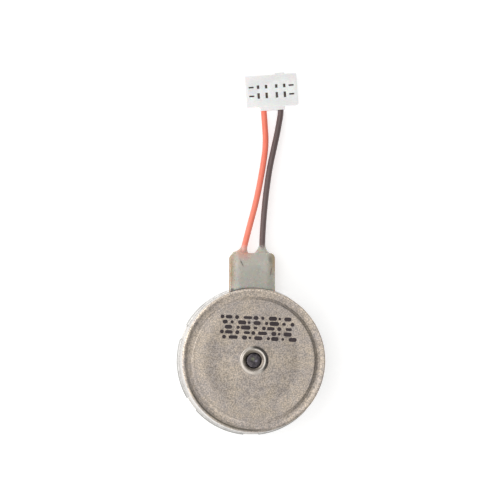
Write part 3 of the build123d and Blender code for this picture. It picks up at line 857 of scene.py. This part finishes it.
def add_dash(bm, start, length, radius, turn):
    """A thin round-ended drop of ink that follows the face."""
    ends = arc((length, 0), radius, -90, 90, 8) + arc((0, 0), radius, 90, 270, 8)
    spin = Matrix.Rotation(turn, 2)
    outline = [tuple(start + spin @ Vector(spot)) for spot in ends]
    before = set(bm.verts)
    slab(bm, outline, INK_ROOT, INK_THICKNESS, rounding=INK_THICKNESS / 2, segments=1)
    for vertex in set(bm.verts) - before:
        vertex.co.z += face_height(vertex.co.xy.length)


def build_pad(finish):
    """Disc of mounting tape under the plate."""
    steps = 200
    outline = arc((0, 0), PAD_HIGH.x, 0, 360 - 360 / steps, steps - 1)
    bm = bmesh.new()
    slab(bm, outline, PAD_LOW.z, PAD_HIGH.z, rounding=0.015)
    mount(piece_from(bm, "mounting_tape", finish), "stator", "adhesive_tape", "adhesive_pad")


# ---- glue, leads and plug -------------------------------------------------------------------
def meniscus(bm, route, reach):
    """Glue drawn up round a lead: a wide foot that thins out along the lead."""
    heading = (Vector(route[2]) - Vector(route[1])).normalized()
    foot = Vector(route[1]) + heading * (GLUE_END - 0.10 - route[1][1])
    turn = heading.to_track_quat("Z", "Y").to_matrix().to_4x4()
    steps = 14
    skin, spread, root = 0.02, 0.46, -0.3
    flattening = 0.6
    outline = [(0, root), (LEAD_RADIUS + skin + spread, root)]
    for step in range(steps + 1):
        left = 1 - step / steps
        outline.append((LEAD_RADIUS + skin + spread * left ** 2.4, reach * step / steps))
    outline.append((0, reach))
    cone = bmesh.new()
    lathe(cone, outline, steps=40)
    mesh = bpy.data.meshes.new("cone")
    cone.to_mesh(mesh)
    cone.free()
    mesh.transform(Matrix.Translation(foot) @ turn)
    # The wide foot lies flat on the tab.
    for vertex in mesh.vertices:
        rise = vertex.co.z - foot.z
        beyond = abs(rise) - LEAD_RADIUS - skin
        if beyond > 0:
            vertex.co.z -= math.copysign(flattening * beyond, rise)
    bm.from_mesh(mesh)
    bpy.data.meshes.remove(mesh)


def build_glue(finish):
    """Cured glue over the tab: a soft block that climbs round both leads."""
    bm = bmesh.new()
    half = GLUE_WIDTH / 2
    end = GLUE_END
    outline = [(TAB_X - half, GLUE_START), (TAB_X + half, GLUE_START)]
    outline += arc((TAB_X + half - TAB_CORNER, end - TAB_CORNER), TAB_CORNER, 0, 90)
    outline += arc((TAB_X - half + TAB_CORNER, end - TAB_CORNER), TAB_CORNER, 90, 180)
    slab(bm, outline, FLEX_HIGH.z, GLUE_TOP)
    for lead, reach in GLUE_REACH.items():
        meniscus(bm, LEAD_ROUTES[lead], reach)
    glue = piece_from(bm, "glue_cap_cured", finish)
    remesh = glue.modifiers.new("remesh", "REMESH")
    remesh.mode = "VOXEL"
    remesh.voxel_size = 0.036
    relax = glue.modifiers.new("relax", "SMOOTH")
    relax.factor = 0.5
    relax.iterations = 9
    settle(glue)

    # The glue sags towards its sides and its end, and climbs the case's wall.
    floor = FLEX_HIGH.z
    underside = 0.40  # where the glue hangs over the end of the circuit
    shoulder = 0.9
    for vertex in glue.data.vertices:
        spot = vertex.co
        if spot.z > floor + 0.25:
            side = smoothstep((abs(spot.x - TAB_X) - shoulder) / (half - shoulder))
            far = smoothstep((spot.y - end + shoulder) / shoulder)
            climb = smoothstep((5.6 - spot.y) / 0.6)
            rise = 0.07 * climb - 0.10 * side - 0.07 * far
            spot.z += rise * (spot.z - floor) / (GLUE_TOP - floor)
        spot.z = max(spot.z, floor if spot.y < FLEX_HIGH.y else underside)

    # Only the notch in the wall lets it into the case.
    half_notch = TAB_NOTCH_WIDTH / 2
    wall_middle = CASE_RADIUS - WALL / 2
    ring = bmesh.new()
    lathe(ring, [(0, -1), (wall_middle, -1), (wall_middle, 3), (0, 3)], steps=200)
    carve(glue, piece_from(ring, "can_tool", finish))
    carve(glue, block_tool([
        ((TAB_X - half_notch, 4, TAB_NOTCH_TOP), (TAB_X + half_notch, CASE_RADIUS, 3)),
    ]))
    smooth(glue.data, 50)
    mount(glue, "stator", "cured_glue", "glue_cap")


def build_lead(name, finish):
    """One insulated lead: a smooth curve led by the points of its route."""
    route = LEAD_ROUTES[name]
    curve = bpy.data.curves.new(name + "_insulation", "CURVE")
    curve.dimensions = "3D"
    curve.bevel_depth = LEAD_RADIUS * MM
    curve.bevel_resolution = 10
    curve.resolution_u = 24
    curve.use_fill_caps = True
    line = curve.splines.new("NURBS")
    line.points.add(len(route) - 1)
    for point, spot in zip(line.points, route):
        point.co = (*(Vector(spot) * MM), 1)
    line.order_u = 3
    line.use_endpoint_u = True
    lead = bpy.data.objects.new(name + "_insulation", curve)
    bpy.context.scene.collection.objects.link(lead)
    curve.materials.append(finish.material)
    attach(lead, "stator")
    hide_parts(name)
    return lead


def plug_boxes():
    """The hollows of the housing, as pairs of corners on the plug."""
    top = PLUG_HEIGHT + 0.2
    boxes = []
    for contact_x in (-PITCH / 2, PITCH / 2):
        middle = Vector((contact_x, 0, 0))
        for low, high in (CAVITY, MATING_SLOT):
            boxes.append((middle + Vector(low), middle + Vector(high)))

    def window(x, y, width, length, floor):
        low = (x - width / 2, y - length / 2, floor)
        boxes.append((low, (x + width / 2, y + length / 2, top)))

    for row_y, length in WINDOW_ROWS:
        for window_x in WINDOW_PLACES:
            window(window_x, row_y, WINDOW_WIDTH, length, WINDOW_FLOOR)
    for end_x in (-END_WINDOW_X, END_WINDOW_X):
        for row_y, _ in WINDOW_ROWS:
            window(end_x, row_y, END_WINDOW_LENGTH, END_WINDOW_WIDTH, END_WINDOW_FLOOR)
    return boxes


def build_plug(finish, shade):
    """Moulded housing with its sleeve and nib, its windows and the ways in for the leads; the faces
    inside take a dark finish of painted shade.
    """
    half_x, half_y = PLUG_WIDTH / 2, PLUG_LENGTH / 2
    bm = bmesh.new()
    block(bm, (-half_x, -half_y, 0), (half_x, half_y, PLUG_HEIGHT))
    plug = piece_from(bm, "plug_shell", finish, more=(shade,))
    overlap = 0.3
    sleeve_top = PLUG_HEIGHT - SLEEVE_INSET
    (nib_left, nib_right), nib_length, (nib_low, nib_high) = NIB
    for low, high in (
        ((-SLEEVE_WIDTH / 2, -half_y - SLEEVE_LENGTH, SLEEVE_INSET),
         (SLEEVE_WIDTH / 2, -half_y + overlap, sleeve_top)),
        ((nib_left, half_y - overlap, nib_low), (nib_right, half_y + nib_length, nib_high)),
    ):
        carve(plug, block_tool([(low, high)]), "UNION")
    bevelled(plug, 0.05)
    carve(plug, block_tool(plug_boxes()))
    for contact_x in (-PITCH / 2, PITCH / 2):
        bm = bmesh.new()
        place = Matrix.Translation((contact_x, LEAD_WAY_PLACE, PLUG_HEIGHT / 2))
        bmesh.ops.create_cone(
            bm, cap_ends=True, segments=40, radius1=LEAD_WAY_RADIUS, radius2=LEAD_WAY_RADIUS,
            depth=LEAD_WAY_LENGTH, matrix=place @ Matrix.Rotation(math.pi / 2, 4, "X"))
        carve(plug, piece_from(bm, "way_tool", finish))
    bevelled(plug, 0.012, segments=2, angle=50)
    # Faces inside the housing take the dark finish: painted shade in the cavities and windows.
    skin = 0.04
    for one in plug.data.polygons:
        x, y, z = one.center
        within = abs(x) < half_x - skin and abs(y) < half_y - skin
        one.material_index = 1 if within and skin < z < PLUG_HEIGHT - skin else 0
    plug.data.transform(Matrix.Translation(PLUG_PLACE) @ Matrix.Rotation(PLUG_TURN, 4, "Z"))
    mount(plug, "stator", "plug_plastic", "plug_housing")


# ---- finishes of all pieces -----------------------------------------------------------------
def dress(node, finish):
    """Give a CAD node whose shape is already right a better material."""
    mesh = frame["nodes"][node].data
    mesh.materials.clear()
    mesh.materials.append(finish.material)
    smooth(mesh, 30)


def dress_inner_pieces():
    """Finishes of the CAD nodes that stay, most of them inside the case."""
    copper = metal_finish("bare_copper", (0.80, 0.42, 0.26), (0.60, 0.28, 0.16), (0.25, 0.40))
    spring = metal_finish(
        "spring_alloy", (0.86, 0.68, 0.36), (0.70, 0.52, 0.24), (0.15, 0.28), stretch=(1, 0.1, 1))
    gold = metal_finish("gold_flash", (0.95, 0.74, 0.32), (0.80, 0.58, 0.20), (0.15, 0.30))
    tin = metal_finish("tinned_strands", (0.72, 0.71, 0.68), (0.52, 0.51, 0.49), (0.25, 0.40))
    solder = metal_finish("solder", (0.66, 0.66, 0.65), (0.48, 0.48, 0.47), (0.20, 0.38))
    # The contacts are painted dark brown: painted shade seen through the plug's windows.
    contact = metal_finish(
        "contact_tin_painted_shade", (0.20, 0.17, 0.15), (0.10, 0.085, 0.075), (0.30, 0.45), metallic=0.6)
    # The washers are dark film; their dark tone also stands in for the shade in the gap round the
    # shaft.
    film = plastic_finish("washer_film", (0.10, 0.08, 0.06), (0.05, 0.04, 0.03), (0.25, 0.40))
    dress("flex_circuit", plastic_finish(
        "polyimide", (0.55, 0.30, 0.08), (0.38, 0.19, 0.05), (0.22, 0.35), Coat_Weight=0.3))
    dress("ring_magnet", metal_finish(
        "magnet_plating", (0.66, 0.65, 0.62), (0.48, 0.47, 0.45), (0.28, 0.45)))
    dress("bearing", metal_finish(
        "sintered_bronze", (0.62, 0.42, 0.22), (0.42, 0.27, 0.13), (0.40, 0.60), grain=0.05))
    dress("counterweight", metal_finish(
        "heavy_alloy", (0.42, 0.41, 0.40), (0.27, 0.26, 0.25), (0.45, 0.62), grain=0.05))
    dress("rotor_board", plastic_finish(
        "board_laminate", (0.09, 0.30, 0.13), (0.05, 0.20, 0.08), (0.30, 0.42), Coat_Weight=0.3))
    dress("rotor_moulding", plastic_finish(
        "moulding_resin", (0.09, 0.09, 0.10), (0.05, 0.05, 0.055)))
    for node, finish in {
        "copper_track_red": copper, "copper_track_black": copper,
        "brush_red": spring, "brush_black": spring, "commutator": gold,
        "lead_core_red": tin, "lead_core_black": tin,
        "solder_red": solder, "solder_black": solder,
        "contact_red": contact, "contact_black": contact,
        "lower_thrust_washer": film, "upper_thrust_washer": film,
    }.items():
        dress(node, finish)
    for node in ("coil_left", "coil_right"):
        low, high = box_mm(node)
        middle = (low + high) / 2
        dress(node, winding_finish(node + "_winding", (middle.x, middle.y)))


# ---- stage ----------------------------------------------------------------------------------
def build_floor():
    """A pale table, lit from below like a photographer's light table."""
    finish = Finish(
        "light_table", Specular_IOR_Level=0.1, Emission_Color=(1, 1, 1, 1), Emission_Strength=0.56)
    patches = finish.remap(finish.noise(14), 0.3, 0.7)
    finish.colour(finish.mix(patches, (0.66, 0.66, 0.66), (0.68, 0.68, 0.68)))
    finish.rough(finish.remap(finish.noise(6), 0.3, 0.7, 0.55, 0.65))
    bm = bmesh.new()
    steps, radius = 96, 1500
    outline = arc((0, 0), radius, 0, 360 - 360 / steps, steps - 1)
    height = PAD_LOW.z - 0.01
    bm.faces.new([bm.verts.new((x, y, height)) for x, y in outline])
    floor = to_metres(piece_from(bm, "table", finish))


def direction(azimuth, elevation):
    """A unit vector from compass angles in degrees, azimuth 0 along +X."""
    turn, rise = math.radians(azimuth), math.radians(elevation)
    flat = math.cos(rise)
    return Vector((math.cos(turn) * flat, math.sin(turn) * flat, math.sin(rise)))


# Soft panels of the studio: azimuth, elevation, half-angle of full tone, of its edge, added tone.
PANELS = (
    (180, 14, 22, 44, 0.50),
    (240, 24, 18, 42, 0.40),
    (330, 42, 12, 34, -0.40),
    (8, 40, 18, 36, -0.62),
    (62, 38, 14, 36, -0.58),
)
ROOM_TONE = 0.88
DARKEST_TONE = 0.05


def light_studio():
    """A pale room with bright and dark panels, and one soft key light."""
    world = bpy.data.worlds.new("studio")
    bpy.context.scene.world = world
    world.use_nodes = True
    tree = world.node_tree
    background = tree.nodes["Background"]
    where = tree.nodes.new("ShaderNodeTexCoord").outputs["Generated"]
    total = None
    for azimuth, elevation, full, edge, tone in PANELS:
        aim = tree.nodes.new("ShaderNodeVectorMath")
        aim.operation = "DOT_PRODUCT"
        tree.links.new(where, aim.inputs[0])
        aim.inputs[1].default_value = direction(azimuth, elevation)
        panel = tree.nodes.new("ShaderNodeMapRange")
        panel.interpolation_type = "SMOOTHSTEP"
        tree.links.new(aim.outputs["Value"], panel.inputs["Value"])
        panel.inputs["From Min"].default_value = math.cos(math.radians(edge))
        panel.inputs["From Max"].default_value = math.cos(math.radians(full))
        panel.inputs["To Min"].default_value = 0
        panel.inputs["To Max"].default_value = tone
        gather = tree.nodes.new("ShaderNodeMath")
        tree.links.new(panel.outputs["Result"], gather.inputs[0])
        if total is None:
            gather.inputs[1].default_value = ROOM_TONE
        else:
            tree.links.new(total, gather.inputs[1])
        total = gather.outputs[0]
    limit = tree.nodes.new("ShaderNodeMath")
    limit.operation = "MAXIMUM"
    tree.links.new(total, limit.inputs[0])
    limit.inputs[1].default_value = DARKEST_TONE
    tree.links.new(limit.outputs[0], background.inputs["Strength"])
    background.inputs["Color"].default_value = (1.0, 0.995, 0.985, 1)

    key = bpy.data.lights.new("key_light", "AREA")
    key.shape = "DISK"
    key.size = 0.16
    key.energy = 0.10
    key.color = (1.0, 0.985, 0.96)
    lamp = bpy.data.objects.new("key_light", key)
    towards = direction(150, 62)
    lamp.location = towards * 0.30
    lamp.rotation_euler = towards.to_track_quat("Z", "Y").to_euler()
    bpy.context.scene.collection.objects.link(lamp)


# Camera: almost straight above, a little to the lower left, far enough for a flat view.
VIEW_TILT = math.radians(5.3)
VIEW_AZIMUTH = math.radians(206.5)
VIEW_DISTANCE = 250
VIEW_WIDTH = 34.75
SENSOR_WIDTH = 36
VIEW_MIDDLE = Vector((-0.27, 7.675, 2.9))


def place_camera():
    """Camera on the line of sight, with +Y up in the picture."""
    sight = Vector((
        math.sin(VIEW_TILT) * math.cos(VIEW_AZIMUTH),
        math.sin(VIEW_TILT) * math.sin(VIEW_AZIMUTH),
        math.cos(VIEW_TILT),
    ))
    right = Vector((0, 1, 0)).cross(sight).normalized()
    up = sight.cross(right)
    lens = bpy.data.cameras.new("camera")
    lens.sensor_width = SENSOR_WIDTH
    lens.lens = SENSOR_WIDTH * VIEW_DISTANCE / VIEW_WIDTH
    lens.clip_start = 0.01
    lens.clip_end = 10
    camera = bpy.data.objects.new("camera", lens)
    turn = Matrix((right, up, sight)).transposed().to_4x4()
    camera.matrix_world = Matrix.Translation((VIEW_MIDDLE + sight * VIEW_DISTANCE) * MM) @ turn
    bpy.context.scene.collection.objects.link(camera)
    bpy.context.scene.camera = camera


# ---- everything together --------------------------------------------------------------------
place_camera()
light_studio()
build_floor()

red = insulation_finish(
    "red_insulation", (0.96, 0.205, 0.13), (1.0, 0.30, 0.21), (0.86, 0.13, 0.08))
black = insulation_finish(
    "black_insulation", (0.125, 0.082, 0.080), (0.17, 0.125, 0.12), (0.07, 0.046, 0.045))
build_lead("lead_red", red)
build_lead("lead_black", black)
# Dark finish for the insides of the plug: painted shade.
hollow_painted_shade = plastic_finish("plug_hollows", (0.26, 0.20, 0.17), (0.15, 0.11, 0.095), (0.5, 0.7))
build_plug(plug_finish(), hollow_painted_shade)
build_glue(glue_finish())
build_case(case_face_finish(), case_wall_finish())
build_plate(plate_finish())
build_shaft(shaft_finish())
ink = plastic_finish("printed_ink", (0.045, 0.030, 0.034), (0.020, 0.013, 0.016), (0.45, 0.6))
build_mark(ink)
tape = plastic_finish("mounting_tape", (0.84, 0.82, 0.74), (0.74, 0.72, 0.64), (0.5, 0.7))
build_pad(tape)
dress_inner_pieces()

bpy.context.scene.view_settings.view_transform = "Standard"
